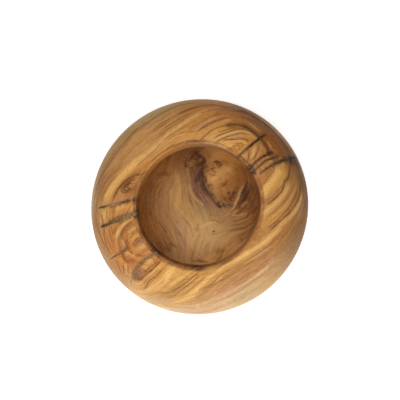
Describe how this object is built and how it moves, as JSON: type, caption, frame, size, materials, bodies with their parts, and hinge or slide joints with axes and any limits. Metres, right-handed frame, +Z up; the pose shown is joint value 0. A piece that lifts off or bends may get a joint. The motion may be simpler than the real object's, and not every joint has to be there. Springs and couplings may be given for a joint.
{
  "type": "yarn bowl",
  "caption": "Round turned wooden yarn bowl with a closed-in shoulder, a narrow mouth with a steep lip, and drying cracks filled with dark resin.",
  "frame": {"origin": "centre of the foot, on the surface that the bowl stands on", "axes": "+Z up, out of the mouth; +X along the grain of the wood, which is the long axis of the slightly oval plan"},
  "size_m": [0.15, 0.1466, 0.0931],
  "materials": {
    "olive_wood": "sanded and oiled",
    "dark_filler": "resin with grit, sanded flush"
  },
  "bodies": {
    "root": {"bowl": "olive_wood", "right_crack_fill_1": "dark_filler", "right_crack_fill_2": "dark_filler", "right_crack_fill_3": "dark_filler", "right_crack_fill_4": "dark_filler", "left_crack_fill_1": "dark_filler", "left_crack_fill_2": "dark_filler", "left_crack_fill_3": "dark_filler", "left_crack_fill_4": "dark_filler"}
  },
  "joints": []
}
